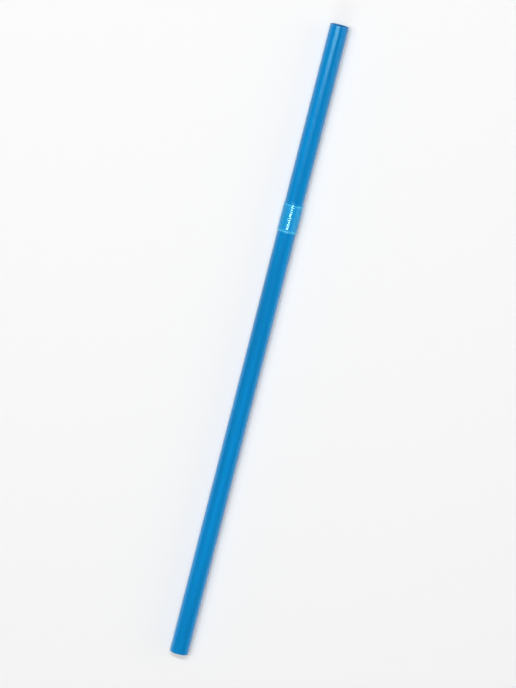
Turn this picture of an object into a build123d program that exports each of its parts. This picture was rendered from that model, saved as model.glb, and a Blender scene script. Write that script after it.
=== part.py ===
"""A flexible drinking straw: one extruded plastic tube with a bellows rolled into it and pushed shut.

The straw lies along +X. The origin is on its axis, in the plane of the cut at the end that stands
in the drink. The mouth is at the far end of +X. All sizes are in millimetres and degrees.

The whole straw is one wall of even thickness turned about its axis. The wall runs straight along
the stem, zigzags through the bellows and runs straight again to the mouth. The bellows is closed,
as a straw is packed: each pleat is a short cone and a long cone that lie one over the other, tucked
into the next pleat, so that only the crests show from outside.
"""

from build123d import *

import os
from math import ceil, cos, radians, sin

# The tube
straw_length = 210.0  # from cut to cut, with the bellows closed
mouth_length = 58.0  # of plain tube between the bellows and the mouth
tube_diameter = 6.0  # outside
wall = 0.16  # thickness, all the way along

# The bellows
pleat_count = 12
crest_diameter = 6.5  # outside, over the crests
root_diameter = 4.7  # inside, clear through the roots
fold_gap = 0.14  # clear space between two cones that lie one over the other
cone_slope = 30.0  # between a cone and a flat disc
rim_land = 0.12  # straight run before the fold of the first crest and after that of the last
flare_slope = 20.0  # of the short cone that leads from the tube up to the crests
open_step = 60.0  # a fold's outer side bends at edges, each by no more than this
tucked_step = 90.0  # the same for a fold's inner side, which is out of sight

# What follows from them
tube_line = tube_diameter / 2 - wall / 2  # radius at the middle of the tube's wall
cone_pitch = wall + fold_gap  # from the middle of one cone to the next, square to both
fold_radius = cone_pitch / 2  # at the middle of the wall
crest_line = crest_diameter / 2 - wall / 2
root_line = root_diameter / 2 + wall / 2
fold_depth = crest_line - root_line - cone_pitch  # between the centres of a crest and a root
lean = radians(cone_slope)
short_cone = (fold_depth - cone_pitch * sin(lean)) / cos(lean)
long_cone = (fold_depth + cone_pitch * sin(lean)) / cos(lean)
flare_length = (crest_line - tube_line) / sin(radians(flare_slope))


def corner(turn, length):
    """The wall turns at one plain edge, then runs straight."""
    return {"turn": turn, "radius": 0.0, "length": length}


def fold(turn, length):
    """The wall folds over, to the left where the turn is positive, then runs straight."""
    return {"turn": turn, "radius": fold_radius, "length": length}


def bellows():
    """The zigzag with the flare at either end, as seen with the axis below the wall."""
    inwards, outwards = 90 + cone_slope, 90 - cone_slope
    root = fold(180, long_cone)
    return [
        corner(flare_slope, flare_length),
        corner(-flare_slope, rim_land),
        fold(-inwards, short_cone),
        *[root, fold(-180, short_cone)] * (pleat_count - 1),
        root,
        fold(-outwards, rim_land),
        corner(-flare_slope, flare_length),
        corner(flare_slope, mouth_length),
    ]


def wall_side(steps, offset=0.0):
    """The corners that one side of the wall passes, at an offset outwards from its middle."""
    at, heading = Vector(0, tube_line), Vector(1, 0)
    corners = [at + Vector(0, offset)]
    for step in steps:
        left = 1 if step["turn"] > 0 else -1
        to_centre = heading.rotate(Axis.Z, 90 * left)
        centre = at + to_centre * step["radius"]
        radius = step["radius"] - left * offset
        edges = ceil(abs(step["turn"]) / (open_step if left * offset < 0 else tucked_step))
        bend = step["turn"] / edges
        for edge in range(edges):
            spoke = -to_centre.rotate(Axis.Z, bend * (edge + 0.5))
            corners.append(centre + spoke * radius / cos(radians(bend / 2)))
        at = centre - to_centre.rotate(Axis.Z, step["turn"]) * step["radius"]
        heading = heading.rotate(Axis.Z, step["turn"])
        at += heading * step["length"]
    left_side = heading.rotate(Axis.Z, 90)
    return [*corners, at + left_side * offset]


def make_straw():
    """The section of the wall, turned once round the axis."""
    folded = bellows()
    stem_length = straw_length - wall_side(folded)[-1].X
    shift = Vector(stem_length, 0)
    outside, inside = (
        [side[0], *[point + shift for point in side[1:]]]
        for side in (wall_side(folded, wall / 2), wall_side(folded, -wall / 2))
    )
    section = make_face(Polyline(*outside, *reversed(inside), close=True))
    return revolve(section, Axis.X)


os.makedirs("parts", exist_ok=True)
straw = make_straw()
export_step(straw, "parts/straw.step")
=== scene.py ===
"""A flexible drinking straw, with its bellows pushed shut, laid on a pale studio floor.

The straw lies along +X with its stem end at the origin, and every size is in metres.
"""

from math import cos, radians, sin, tan

import bpy
import numpy as np
from bpy.props import FloatProperty, FloatVectorProperty, IntProperty, PointerProperty
from mathutils import Matrix, Vector


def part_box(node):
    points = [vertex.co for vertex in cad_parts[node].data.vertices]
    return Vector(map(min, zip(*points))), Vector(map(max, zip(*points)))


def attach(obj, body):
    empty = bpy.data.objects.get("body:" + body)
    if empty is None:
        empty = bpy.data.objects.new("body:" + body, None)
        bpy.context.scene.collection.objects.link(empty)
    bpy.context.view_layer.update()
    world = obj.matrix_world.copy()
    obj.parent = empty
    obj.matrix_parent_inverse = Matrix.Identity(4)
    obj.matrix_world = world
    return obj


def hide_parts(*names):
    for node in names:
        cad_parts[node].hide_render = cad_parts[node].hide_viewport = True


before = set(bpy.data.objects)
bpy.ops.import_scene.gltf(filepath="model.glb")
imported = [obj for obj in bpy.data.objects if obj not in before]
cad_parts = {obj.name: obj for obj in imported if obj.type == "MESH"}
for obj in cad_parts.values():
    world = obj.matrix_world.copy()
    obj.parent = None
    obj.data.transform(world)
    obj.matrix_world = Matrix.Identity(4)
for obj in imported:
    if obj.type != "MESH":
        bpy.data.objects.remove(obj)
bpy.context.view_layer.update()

bl_info = {
    "name": "Drinking Straw",
    "version": (1, 0, 0),
    "blender": (4, 5, 0),
    "location": "View3D > Sidebar > Straw",
    "description": "Builds a glossy flexible drinking straw, its bellows closed, in a pale studio",
    "category": "Add Mesh",
}

STRAW_LOW, STRAW_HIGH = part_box("straw")

# The rows of the section
OPEN_BEND, TUCKED_BEND = radians(24), radians(45)  # most that a fold bends per row, by side
CROWN_EDGE = 0.12  # share of a crown's width from its edge to the row that keeps it flat
LIP_ROWS = 5  # on each rounded edge of a cut
STEM_ROWS, MOUTH_ROWS = 30, 15  # along each plain tube, with its two ends counted
NEAR_CUT = (0.6, 1.2, 2.2)  # places of the rows near a cut, in thicknesses of the wall
PAST_CUT = 3  # where the other rows begin, likewise

# The numbers of the wall's steps
FIRST_CROWN = 2  # the step of the first crest's crown, and counted from the last step the last's
PLEAT_STEPS = 3  # a crest's two steps and a root's one

# The unevenness of the pleats and the ends
SEED = 7
ONE_SIDED = 0.6  # swing of a crest's drop round the straw, as a share of its mean
OVAL_FADE = 1.5  # tube diameters from a cut over which the tube turns round again

# The marks on the plastic, partly painted light, with lengths in flares from the end of the bellows
PALE_FROM = 0.45  # where the bellows begins to be paler: stretched plastic and painted sheen
LINE_PLACE, LINE_SPREAD = 1.25, 0.12  # the pale line at either end, partly fold whitening and partly painted highlight, and its spread squared
CREST_FROM = 0.85  # height between root and crest from which a point counts as crest
CREST_PALENESS = 0.35  # of the crests between the two lines, as a share of the lines' own
FAR_PALENESS = 0.3  # share of all this paleness that is left far from the lines
CUT_FADE = 0.8  # thicknesses of the wall over which the cut's greyer colour, partly painted shade of the bore, fades

# The noise on the plastic, in features per metre
DIE_LINES = (30.0, 2200.0, 2200.0)
STREAKS = (12.0, 420.0, 420.0)
SCUFFS = 320.0
STREAK_HEIGHT = 4.0  # of the streaks' swell, against the die lines' own
PRESSED_LINES = 0.3  # share of both heights that rolling leaves in the bellows
SCUFF_ROUGHNESS = 0.04  # most that a scuff adds

MIX_FACTOR, MIX_FIRST, MIX_SECOND, MIX_RESULT = 0, 6, 7, 2  # sockets of a colour Mix node

FLOOR_HALF = 3.0  # from the middle of the floor to its sides
ROOM_CLIMB = 0.4  # height of a direction from which the room is as dark as overhead

# Each lamp's name, place, target, sides along and across the straw, and power
LAMPS = (
    ("cross_strip", (0.594, 0.11, 1.165), (0.147, 0.0, 0.0), 0.08, 0.6, 6.0),
    ("overhead", (0.222, 0.28, 1.38), (0.1, 0.0, 0.0), 0.36, 1.3, 10.2),
    ("right_fill", (0.50, -1.20, 0.60), (0.1, 0.0, 0.0), 1.0, 0.5, 2.0),
    ("stem_fill", (-1.00, 0.05, 1.00), (0.1, 0.0, 0.0), 0.5, 0.9, 2.2),
)


def length(name, description, default):
    """A property that holds a length in metres."""
    return FloatProperty(
        name=name, description=description, default=default, min=0.0, unit="LENGTH", precision=5
    )


def turn(name, description, default):
    """A property that holds an angle, with its default in degrees."""
    return FloatProperty(
        name=name, description=description, default=radians(default), unit="ROTATION"
    )


def colour(name, description, default):
    """A property that holds a colour."""
    return FloatVectorProperty(
        name=name,
        description=description,
        default=default,
        subtype="COLOR",
        size=3,
        min=0.0,
        max=1.0,
    )


def share(name, description, default):
    """A property that holds a share between nothing and all."""
    return FloatProperty(
        name=name, description=description, default=default, min=0.0, max=1.0, subtype="FACTOR"
    )


class StrawSizes(bpy.types.PropertyGroup):
    """The sizes of the tube and of its bellows."""

    straw_length: length(
        "Straw length", "From cut to cut, with the bellows closed", STRAW_HIGH[0] - STRAW_LOW[0]
    )
    mouth_length: length("Mouth length", "Plain tube between the bellows and the mouth", 0.058)
    tube_diameter: length("Tube diameter", "Outside diameter of the plain tube", 0.006)
    wall: length("Wall", "Thickness of the plastic, all the way along", 0.00016)
    pleat_count: IntProperty(name="Pleats", description="Pleats of the bellows", default=12, min=2)
    crest_diameter: length(
        "Crest diameter", "Outside diameter over the crests", STRAW_HIGH[2] - STRAW_LOW[2]
    )
    root_diameter: length("Root diameter", "Clear bore through the roots of the pleats", 0.0047)
    fold_gap: length(
        "Fold gap", "Clear space between two cones that lie one over the other", 0.00014
    )
    cone_slope: turn("Cone slope", "Angle of a cone to a flat disc", 30.0)
    crown_width: length(
        "Crown width", "Width of the plain crown on top of each crest", 0.00034
    )
    crown_slope: turn(
        "Crown slope", "How much the crown of each crest falls towards the mouth", 15.0
    )
    flare_slope: turn(
        "Flare slope", "Slope of the cone that leads from the tube up to the crests", 20.0
    )
    fold_swell: turn("Fold swell", "How much more than a half turn each fold turns", 36.0)
    flare_round: length(
        "Flare rounding", "Radius at the foot and the top of each flare", 0.0003
    )
    lip_round: length("Lip rounding", "Radius on the edges of the two cuts", 0.000045)
    crest_unevenness: length(
        "Crest unevenness", "How much lower the lowest crest may stand", 0.00003
    )
    pleat_drift: length("Pleat drift", "How far a pleat may stand off its even place", 0.00002)
    cut_ovalness: length(
        "Cut ovalness", "How much the knife has pressed the ends out of round", 0.00003
    )
    around: IntProperty(name="Around", description="Faces round the straw", default=160, min=12)


class StrawFinish(bpy.types.PropertyGroup):
    """The colours and the finish of the plastic, some of them partly painted sheen and shade."""

    plastic_colour: colour("Plastic", "Colour of the plain tube", (0.0015, 0.25, 0.61))
    # Paler bellows: partly stretch-whitening, partly painted sheen of the crests' highlights
    pleat_and_sheen_colour: colour(
        "Pleats", "Paler colour of the stretched plastic in the bellows", (0.010, 0.325, 0.71)
    )
    # Pale crest lines: partly whitening along the folds, partly painted highlight where the end
    # crests catch light
    crease_and_highlight_colour: colour(
        "Creases", "Colour of the whitened line along a sharp fold", (0.06, 0.50, 0.86)
    )
    # Greyer rims at the cuts: partly the cut plastic, partly painted shade of the dark bore
    cut_and_shade_colour: colour(
        "Cut edge", "Colour of the plastic where the knife has cut it", (0.06, 0.28, 0.52)
    )
    gloss_roughness: share("Roughness", "Roughness of the plain tube", 0.10)
    pleat_roughness: share("Pleat roughness", "Roughness of the bellows", 0.08)
    die_line_depth: length(
        "Die line depth", "Depth of the fine lines along the tube", 0.000012
    )
    streak_share: share("Streaks", "How much the pigment varies along the tube", 0.16)


class StudioLook(bpy.types.PropertyGroup):
    """The floor, the room and the camera."""

    floor_colour: colour("Floor", "Colour of the floor", (0.93, 0.93, 0.93))
    horizon_colour: colour("Horizon", "Colour of the room low down", (0.5, 0.5, 0.5))
    zenith_colour: colour("Zenith", "Colour of the room overhead", (0.12, 0.12, 0.12))
    lean: turn("Lean", "How far the straw leans clockwise in the picture", 14.4)
    tilt: turn("Tilt", "How far the camera stands towards the mouth", 11.0)
    camera_distance: length("Camera distance", "From the middle of the straw", 1.2)
    lens: FloatProperty(
        name="Lens", description="Focal length", default=197.0, min=1.0, unit="CAMERA"
    )


# The shape of the straw


def pleat_headings(size):
    """The wall's heading on its way out to a crest, and on its way in from one."""
    outwards = np.pi / 2 - size.cone_slope + size.fold_swell / 2
    return outwards, outwards - np.pi - size.fold_swell


def pleat_runs(size, fold_radius):
    """The runs in from a crest and out to the next one, and the pitch that they make."""
    outwards, inwards = pleat_headings(size)
    depth = (size.crest_diameter - size.root_diameter) / 2 - size.wall - 2 * fold_radius
    crown_fall = size.crown_width * sin(size.crown_slope)
    run_in = -(depth - crown_fall + 2 * fold_radius * cos(inwards)) / sin(inwards)
    run_out = (depth + 2 * fold_radius * cos(outwards)) / sin(outwards)
    pitch = (
        size.crown_width * cos(size.crown_slope)
        + 2 * fold_radius * (sin(outwards) - sin(inwards))
        + run_in * cos(inwards)
        + run_out * cos(outwards)
    )
    return run_in, run_out, pitch


def pleat_fold_radius(size):
    """The radius at the middle of each fold, which the even pitch of the pleats leaves room for.

    The pitch is a straight line in the radius, so two trial values of it give the radius.
    """
    pitch = 2 * (size.wall + size.fold_gap) / cos(size.cone_slope)
    low, high = (pleat_runs(size, trial)[2] for trial in (0.0, size.wall))
    return size.wall * (pitch - low) / (high - low)


def wall_steps(size):
    """The wall as a walk from the stem to the mouth: each step's turn, its radius, the run after.

    The first step is the stem. The wall climbs the flare, then goes over a crest and round a root
    for each pleat, and comes down to the tube again. A crest is a fold, a narrow crown that falls
    towards the mouth, and a fold. Each fold turns by more than its share of a half turn, so the
    pleats swell into bulbs. A flare's run is the height that its rounded ends leave, over its sine.
    """
    outwards, inwards = pleat_headings(size)
    fold_radius = pleat_fold_radius(size)
    run_in, run_out, _ = pleat_runs(size, fold_radius)
    flare, crown = size.flare_slope, size.crown_slope
    climb = (size.crest_diameter - size.tube_diameter) / 2
    climb -= (size.flare_round + fold_radius) * (1 - cos(flare))
    up_run = climb / sin(flare)
    down_run = (climb - size.crown_width * sin(crown)) / sin(flare)
    over_crest = [
        (-crown - outwards, fold_radius, size.crown_width),
        (inwards + crown, fold_radius, run_in),
    ]
    round_root = [(outwards - inwards, fold_radius, run_out)]
    steps = [
        (0.0, 0.0, 0.0),
        (flare, size.flare_round, up_run),
        (-flare - crown, fold_radius, size.crown_width),
        (inwards + crown, fold_radius, run_in),
        *(round_root + over_crest) * (size.pleat_count - 1),
        *round_root,
        (-crown - outwards, fold_radius, size.crown_width),
        (crown - flare, fold_radius, down_run),
        (flare, size.flare_round, size.mouth_length),
    ]
    return np.array(steps)


def wall_side(size, offset):
    """One side of the bellows in section: its points, the step that each is on, and the end.

    With heading a, the left normal is N(a) = (-sin a, cos a). A step with turn s times t starts at
    heading a0 and ends at a0 + turn, round the centre c = start + s R N(a0). The wall's side at an
    offset o is c + (o - s R) N(a) for the headings a between them. The starts are the running sum
    of all turns and runs before. A crown has two more rows near its edges, which keep it flat.
    """
    turn_by, radius, run = wall_steps(size).T
    before = np.cumsum(turn_by) - turn_by
    after = before + turn_by
    left = np.where(turn_by < 0, -1.0, 1.0)

    def normal(heading):
        return np.stack([-np.sin(heading), np.cos(heading)], axis=-1)

    def ahead(heading):
        return np.stack([np.cos(heading), np.sin(heading)], axis=-1)

    to_centre = (left * radius)[:, None]
    moved = to_centre * (normal(before) - normal(after)) + run[:, None] * ahead(after)
    start = np.cumsum(moved, axis=0) - moved
    start[:, 1] += (size.tube_diameter - size.wall) / 2
    centre = start + to_centre * normal(before)

    bend = np.where(left * offset < 0, OPEN_BEND, TUCKED_BEND)
    arcs = np.maximum(np.ceil(np.abs(turn_by) / bend).astype(int), 2)
    rows = arcs + 1 + 2 * ((run == size.crown_width) & (offset > 0))
    rows[0] = 0
    step = np.repeat(np.arange(len(rows)), rows)
    place = np.arange(rows.sum()) - np.repeat(np.cumsum(rows) - rows, rows)
    heading = before[step] + turn_by[step] * np.minimum(place / arcs[step], 1)
    arm = (offset - left * radius)[step]
    on_crown = np.array([0, CROWN_EDGE, 1 - CROWN_EDGE])[np.maximum(place - arcs[step], 0)]
    points = centre[step] + arm[:, None] * normal(heading)
    points += (run[step] * on_crown)[:, None] * ahead(heading)
    return points, step, start[-1] + moved[-1]


def lip(at, outside, inside, rounding, facing):
    """The cut end of the wall: a quarter round, a flat and a quarter round, from the outside in."""
    angle = np.linspace(0, np.pi / 2, LIP_ROWS)
    ahead, across = rounding * (np.sin(angle) - 1), rounding * (np.cos(angle) - 1)
    outer = np.stack([at + facing * ahead, outside + across], axis=-1)
    inner = np.stack([at + facing * across, inside - ahead], axis=-1)
    return np.concatenate([outer, inner])


def tube_places(low, high, rows, near):
    """Places along a plain tube from low to high, closer together towards both ends.

    They follow the cosine of an even angle, without the two ends, and the near ones are added.
    """
    even = low + (high - low) * (1 - np.cos(np.linspace(0, np.pi, rows)))[1:-1] / 2
    return np.sort(np.concatenate([even, near]))


def straw_section(size):
    """The closed outline of the wall in section, from the stem round by the mouth and back inside.

    Gives the points as (x, radius), and for each one the number of the wall's step that it is on,
    which is 0 outside the bellows.
    """
    end = size.straw_length
    outer_radius = size.tube_diameter / 2
    inner_radius = outer_radius - size.wall
    outside, outer_step, walked = wall_side(size, size.wall / 2)
    inside, inner_step, _ = wall_side(size, -size.wall / 2)
    outside[:, 0] += end - walked[0]
    inside[:, 0] += end - walked[0]

    near_cut, past_cut = size.wall * np.array(NEAR_CUT), size.wall * PAST_CUT
    stem_rows = tube_places(past_cut, outside[0, 0], STEM_ROWS, near_cut)
    mouth_rows = tube_places(outside[-1, 0], end - past_cut, MOUTH_ROWS, end - near_cut)

    def tube(rows, radius):
        return np.stack([rows, np.full_like(rows, radius)], axis=-1)

    parts = [
        (tube(stem_rows, outer_radius), 0),
        (outside, outer_step),
        (tube(mouth_rows, outer_radius), 0),
        (lip(end, outer_radius, inner_radius, size.lip_round, 1), 0),
        (tube(mouth_rows[::-1], inner_radius), 0),
        (inside[::-1], inner_step[::-1]),
        (tube(stem_rows[::-1], inner_radius), 0),
        (lip(0.0, outer_radius, inner_radius, size.lip_round, -1)[::-1], 0),
    ]
    points = np.concatenate([part for part, _ in parts])
    step = np.concatenate([np.broadcast_to(number, len(part)) for part, number in parts])
    return points, step


def plastic_marks(size, place, step, height):
    """Where the plastic looks different, from 0 to 1 on each row of the section.

    The mark for the bellows rises smoothly along each flare, to where the bellows has stretched
    the plastic; its paler colour is partly stretch-whitening and partly painted sheen of the
    crests. The crest mark is the pale line along the crown of the first and the last crest, and a
    faint one on the crests between: partly whitening at the folds, partly painted highlight where
    these crests catch the light. The cut mark fades away from the two cuts; its greyer colour is
    partly the cut plastic and partly painted shade of the dark bore.
    """
    low, high = place[step > 0].min(), place[step > 0].max()
    flare = (size.crest_diameter / 2 - size.tube_diameter / 2) / tan(size.flare_slope)
    into = np.minimum(place - low, high - place) / flare
    # Paler bellows mask: partly stretched plastic, partly painted sheen of the crests
    pleated_and_sheen = np.clip((into - PALE_FROM) / (1 - PALE_FROM), 0, 1)
    pleated_and_sheen = pleated_and_sheen * pleated_and_sheen * (3 - 2 * pleated_and_sheen)
    end_crown = (step == FIRST_CROWN) | (step == step.max() - FIRST_CROWN)
    near_line = np.exp(-((into - LINE_PLACE) ** 2) / LINE_SPREAD)
    # Pale crest lines: partly fold whitening, partly painted highlight
    creased_and_highlight = np.where(end_crown, 1.0, CREST_PALENESS * (height > CREST_FROM))
    creased_and_highlight = creased_and_highlight * np.clip(near_line + FAR_PALENESS, 0, 1)
    from_cut = np.minimum(place, size.straw_length - place)
    # Rim mask: partly the cut plastic, partly painted shade of the bore
    cut = np.exp(-from_cut / (CUT_FADE * size.wall))
    return {"pleated_and_sheen": pleated_and_sheen, "creased_and_highlight": creased_and_highlight, "cut": cut}


def straw_surface(size):
    """The section turned round the X axis, a little uneven, as a grid of section rows by angles.

    A point at angle v stands at (x, r cos v, r sin v). In the bellows the radius falls by
    u (1 + s cos(v - p)) / (1 + s) times the unevenness times h, where s is ONE_SIDED, u and p are
    drawn for each pleat from a fixed seed, and h is how high the point stands between root and
    crest. A pleat shifts along the straw by w cos(v - q) times the drift times h, with w and q
    drawn likewise. Near the cuts the radius changes by cos 2v times the ovalness, which fades
    with the distance.
    """
    section, step = straw_section(size)
    x, radius = section[:, :1], section[:, 1:]
    v = np.linspace(0, 2 * np.pi, size.around, endpoint=False)[None, :]

    pleats = size.pleat_count + 2
    pleat = np.clip((step - FIRST_CROWN) // PLEAT_STEPS + 1, 0, pleats - 1)
    drawn = np.random.default_rng(SEED).random((4, pleats))[:, pleat, None]
    drop, drop_side, drift, drift_side = drawn
    lower = drop * (1 + ONE_SIDED * np.cos(v - 2 * np.pi * drop_side)) / (1 + ONE_SIDED)
    aside = (2 * drift - 1) * np.cos(v - 2 * np.pi * drift_side)
    root, crest = size.root_diameter / 2, size.crest_diameter / 2
    folded = (step > FIRST_CROWN) & (step <= step.max() - FIRST_CROWN)
    height = np.clip((radius - root) / (crest - root), 0, 1) * folded[:, None]
    fade = OVAL_FADE * size.tube_diameter
    out_of_round = np.exp(-x / fade) - np.exp(-(size.straw_length - x) / fade)

    radius = radius - size.crest_unevenness * lower * height
    radius = radius + size.cut_ovalness * out_of_round * np.cos(2 * v)
    x = x + size.pleat_drift * aside * height
    grid = np.stack([x, radius * np.cos(v), radius * np.sin(v)], axis=-1)
    return grid, plastic_marks(size, section[:, 0], step, height[:, 0])


def closed_mesh(name, grid, marks):
    """A mesh on a grid that closes on itself both ways, with one number a row for each mark."""
    rows, columns = grid.shape[:2]
    row, column = np.meshgrid(np.arange(rows), np.arange(columns), indexing="ij")
    next_row, next_column = (row + 1) % rows, (column + 1) % columns
    corners = [(row, column), (row, next_column), (next_row, next_column), (next_row, column)]
    quads = np.stack([down * columns + along for down, along in corners], axis=-1).reshape(-1, 4)
    mesh = bpy.data.meshes.new(name)
    mesh.vertices.add(rows * columns)
    mesh.vertices.foreach_set("co", grid.astype(np.float32).ravel())
    mesh.loops.add(quads.size)
    mesh.loops.foreach_set("vertex_index", quads.astype(np.int32).ravel())
    mesh.polygons.add(len(quads))
    mesh.polygons.foreach_set("loop_start", np.arange(0, quads.size, 4, dtype=np.int32))
    for mark, value in marks.items():
        layer = mesh.attributes.new(mark, "FLOAT", "POINT")
        layer.data.foreach_set("value", np.repeat(value, columns).astype(np.float32))
    mesh.update(calc_edges=True)
    mesh.validate()
    mesh.shade_smooth()
    return mesh


# The nodes of the materials and the room


def emptied(owner):
    """A material or a world, with nothing left in its node tree."""
    owner.use_nodes = True
    owner.node_tree.nodes.clear()
    return owner


def node(material, kind, links=(), **settings):
    """Adds a node, sets its sockets and settings, and links sources into its sockets."""
    made = material.node_tree.nodes.new(kind)
    for key, value in settings.items():
        setattr(made, key, value)
    for socket, source in dict(links).items():
        if isinstance(source, bpy.types.NodeSocket):
            material.node_tree.links.new(source, made.inputs[socket])
        else:
            made.inputs[socket].default_value = source
    return made


def mixed(material, factor, first, second, blend="MIX"):
    """One colour over another, by a factor."""
    sockets = {MIX_FACTOR: factor, MIX_FIRST: first, MIX_SECOND: second}
    mix = node(material, "ShaderNodeMix", sockets, data_type="RGBA", blend_type=blend)
    return mix.outputs[MIX_RESULT]


def ranged(material, value, to_low, to_high, from_low=0.0, from_high=1.0):
    """A value carried over from one span to another."""
    sockets = {
        "Value": value,
        "From Min": from_low,
        "From Max": from_high,
        "To Min": to_low,
        "To Max": to_high,
    }
    return node(material, "ShaderNodeMapRange", sockets).outputs[0]


def drawn_noise(material, place, features, detail):
    """Noise with its own number of features per metre along each axis."""
    sockets = {"Vector": place, "Scale": features}
    scaled = node(material, "ShaderNodeMapping", sockets).outputs[0]
    sockets = {"Vector": scaled, "Scale": 1.0, "Detail": detail}
    return node(material, "ShaderNodeTexNoise", sockets).outputs["Fac"]


def straw_plastic(finish):
    """Glossy coloured polypropylene: paler where it is stretched, and drawn along its length.
    Paler bellows, pale crest lines and greyer rims are partly painted sheen, highlight and shade.

    The die lines and the streaks are noise on Object coordinates that are drawn out along X, so
    they run the length of the tube. Rolling has pressed them flatter in the bellows. A finer noise
    on even coordinates dulls the gloss here and there.
    """
    made = emptied(bpy.data.materials.new("straw_plastic"))
    place = node(made, "ShaderNodeTexCoord").outputs["Object"]
    lines = drawn_noise(made, place, DIE_LINES, detail=3.0)
    streaks = drawn_noise(made, place, STREAKS, detail=2.0)
    sockets = {"Vector": place, "Scale": SCUFFS, "Detail": 5.0, "Roughness": 0.6}
    scuffs = node(made, "ShaderNodeTexNoise", sockets).outputs["Fac"]
    pleated_and_sheen, creased_and_highlight, cut = (
        node(
            made, "ShaderNodeAttribute", attribute_name=mark, attribute_type="GEOMETRY"
        ).outputs["Fac"]
        for mark in ("pleated_and_sheen", "creased_and_highlight", "cut")
    )

    colour_of = (*finish.plastic_colour, 1)
    for mark, over in (
        # paler bellows: partly stretch-whitening, partly painted sheen
        (pleated_and_sheen, finish.pleat_and_sheen_colour),
        # pale crest lines: partly fold whitening, partly painted highlight
        (creased_and_highlight, finish.crease_and_highlight_colour),
        # greyer rims: partly the cut plastic, partly painted shade of the bore
        (cut, finish.cut_and_shade_colour),
    ):
        colour_of = mixed(made, mark, colour_of, (*over, 1))
    low, high = 1 - finish.streak_share, 1 + finish.streak_share
    shade = ranged(made, streaks, low, high, from_low=0.3, from_high=0.7)
    colour_of = mixed(made, 1.0, colour_of, shade, "MULTIPLY")

    dull = ranged(made, scuffs, 0.0, SCUFF_ROUGHNESS, from_low=0.35, from_high=0.75)
    base_rough = ranged(made, pleated_and_sheen, finish.gloss_roughness, finish.pleat_roughness)
    rough = node(made, "ShaderNodeMath", {0: base_rough, 1: dull}, operation="ADD").outputs[0]
    swell = node(
        made, "ShaderNodeMath", {0: streaks, 1: STREAK_HEIGHT, 2: lines}, operation="MULTIPLY_ADD"
    ).outputs[0]
    pressed = ranged(made, pleated_and_sheen, 1.0, PRESSED_LINES)
    sockets = {"Height": swell, "Strength": pressed, "Distance": finish.die_line_depth}
    bump = node(made, "ShaderNodeBump", sockets).outputs[0]
    plastic = node(
        made,
        "ShaderNodeBsdfPrincipled",
        {
            "Base Color": colour_of,
            "Roughness": rough,
            "Normal": bump,
            "IOR": 1.55,
            "Specular Tint": (0.5, 1.0, 1.0, 1.0),
            "Subsurface Weight": 0.2,
            "Subsurface Radius": (0.2, 0.6, 1.0),
            "Subsurface Scale": 0.0005,
        },
    )
    node(made, "ShaderNodeOutputMaterial", {"Surface": plastic.outputs[0]})
    return made


class STRAW_OT_add_straw(bpy.types.Operator):
    """Adds the straw: stem, closed bellows and mouth, in one piece"""

    bl_idname = "straw.add_straw"
    bl_label = "Add Straw"

    def execute(self, context):
        grid, marks = straw_surface(context.scene.straw_sizes)
        mesh = closed_mesh("flexible_straw", grid, marks)
        mesh.materials.append(straw_plastic(context.scene.straw_finish))
        piece = bpy.data.objects.new("flexible_straw", mesh)
        context.scene.collection.objects.link(piece)
        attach(piece, "root")
        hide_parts("straw")
        return {"FINISHED"}


# The studio


def pale_floor(look):
    """A flat square sheet of matt pale card under the straw."""
    under = -bpy.context.scene.straw_sizes.crest_diameter / 2
    middle = (STRAW_LOW[0] + STRAW_HIGH[0]) / 2
    u, v = np.array([(-1, -1), (1, -1), (1, 1), (-1, 1)]).T
    corners = np.column_stack([middle + FLOOR_HALF * u, FLOOR_HALF * v, np.full(4, under)])
    mesh = bpy.data.meshes.new("floor")
    mesh.from_pydata(corners.tolist(), [], [(0, 1, 2, 3)])
    card = emptied(bpy.data.materials.new("pale_card"))
    sockets = {
        "Base Color": (*look.floor_colour, 1),
        "Roughness": 0.9,
        "Specular IOR Level": 0.2,
    }
    matt = node(card, "ShaderNodeBsdfPrincipled", sockets)
    node(card, "ShaderNodeOutputMaterial", {"Surface": matt.outputs[0]})
    mesh.materials.append(card)
    floor = bpy.data.objects.new("floor", mesh)
    bpy.context.scene.collection.objects.link(floor)


def room(look):
    """The world: pale at the horizon and darker overhead, by the height of the direction."""
    world = emptied(bpy.data.worlds.new("room"))
    bpy.context.scene.world = world
    direction = node(world, "ShaderNodeTexCoord").outputs["Generated"]
    height = node(world, "ShaderNodeSeparateXYZ", {0: direction}).outputs["Z"]
    sockets = {"Value": height, "From Max": ROOM_CLIMB}
    climb = node(world, "ShaderNodeMapRange", sockets, interpolation_type="SMOOTHSTEP").outputs[0]
    tone = mixed(world, climb, (*look.horizon_colour, 1), (*look.zenith_colour, 1))
    glow = node(world, "ShaderNodeBackground", {"Color": tone, "Strength": 1.0})
    node(world, "ShaderNodeOutputWorld", {"Surface": glow.outputs[0]})


def along_straw(back):
    """The straw's own direction, as near as one that is square to back comes to it."""
    return (Vector((1, 0, 0)) - back * back.x).normalized()


def placed(name, data, place, right, up, back):
    """Adds a lamp or the camera at a place, by the directions of its own three axes."""
    made = bpy.data.objects.new(name, data)
    turned = Matrix((right, up, back)).transposed().to_4x4()
    made.matrix_world = Matrix.Translation(place) @ turned
    bpy.context.scene.collection.objects.link(made)
    return made


def soft_lamp(name, place, target, along_side, cross_side, power):
    """An area lamp that faces a target, with one side as near to the straw's line as it can be."""
    lamp = bpy.data.lights.new(name, "AREA")
    lamp.shape, lamp.size, lamp.size_y, lamp.energy = "RECTANGLE", along_side, cross_side, power
    back = (Vector(place) - Vector(target)).normalized()
    along = along_straw(back)
    placed(name, lamp, place, along, back.cross(along), back)


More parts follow.
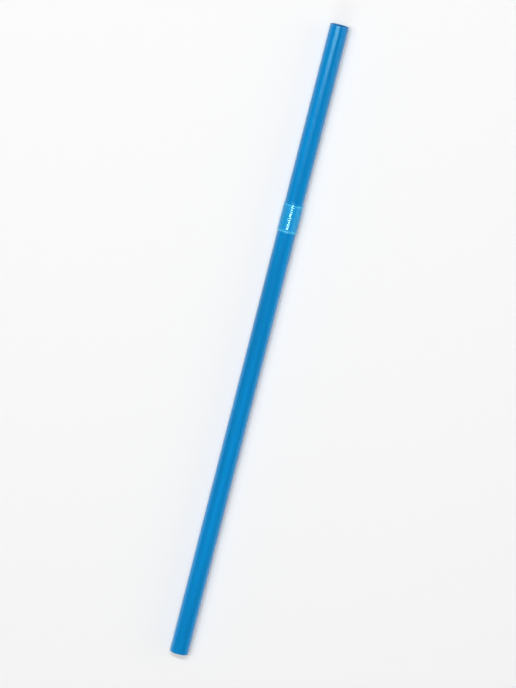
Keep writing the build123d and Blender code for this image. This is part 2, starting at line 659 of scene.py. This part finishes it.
def picture_camera(look):
    """The camera over the straw, with the straw's axis leaning in the picture."""
    data = bpy.data.cameras.new("camera")
    data.lens = look.lens
    data.clip_start, data.clip_end = 0.05, 20.0
    middle = Vector(((STRAW_LOW[0] + STRAW_HIGH[0]) / 2, 0, 0))
    back = Vector((sin(look.tilt), 0, cos(look.tilt)))
    along = along_straw(back)
    aside = along.cross(back)
    up = along * cos(look.lean) - aside * sin(look.lean)
    right = along * sin(look.lean) + aside * cos(look.lean)
    place = middle + back * look.camera_distance
    bpy.context.scene.camera = placed("camera", data, place, right, up, back)


class STRAW_OT_add_stage(bpy.types.Operator):
    """Adds the floor, the room, the lamps and the camera"""

    bl_idname = "straw.add_stage"
    bl_label = "Add Stage"

    def execute(self, context):
        look = context.scene.straw_studio
        context.scene.view_settings.view_transform = "Standard"
        pale_floor(look)
        room(look)
        for lamp in LAMPS:
            soft_lamp(*lamp)
        picture_camera(look)
        return {"FINISHED"}


class STRAW_PT_panel(bpy.types.Panel):
    """Lists the sizes, the finish, the studio and the buttons"""

    bl_idname = "STRAW_PT_panel"
    bl_label = "Drinking Straw"
    bl_space_type = "VIEW_3D"
    bl_region_type = "UI"
    bl_category = "Straw"

    def draw(self, context):
        scene = context.scene
        for group in (scene.straw_sizes, scene.straw_finish, scene.straw_studio):
            box = self.layout.box()
            for name in group.__annotations__:
                box.prop(group, name)
        self.layout.operator("straw.add_straw")
        self.layout.operator("straw.add_stage")


CLASSES = (
    StrawSizes,
    StrawFinish,
    StudioLook,
    STRAW_OT_add_straw,
    STRAW_OT_add_stage,
    STRAW_PT_panel,
)


def register():
    for kind in CLASSES:
        bpy.utils.register_class(kind)
    bpy.types.Scene.straw_sizes = PointerProperty(type=StrawSizes)
    bpy.types.Scene.straw_finish = PointerProperty(type=StrawFinish)
    bpy.types.Scene.straw_studio = PointerProperty(type=StudioLook)


def unregister():
    del bpy.types.Scene.straw_studio
    del bpy.types.Scene.straw_finish
    del bpy.types.Scene.straw_sizes
    for kind in reversed(CLASSES):
        bpy.utils.unregister_class(kind)


def main():
    register()
    bpy.ops.straw.add_straw()
    bpy.ops.straw.add_stage()


if __name__ == "__main__":
    main()
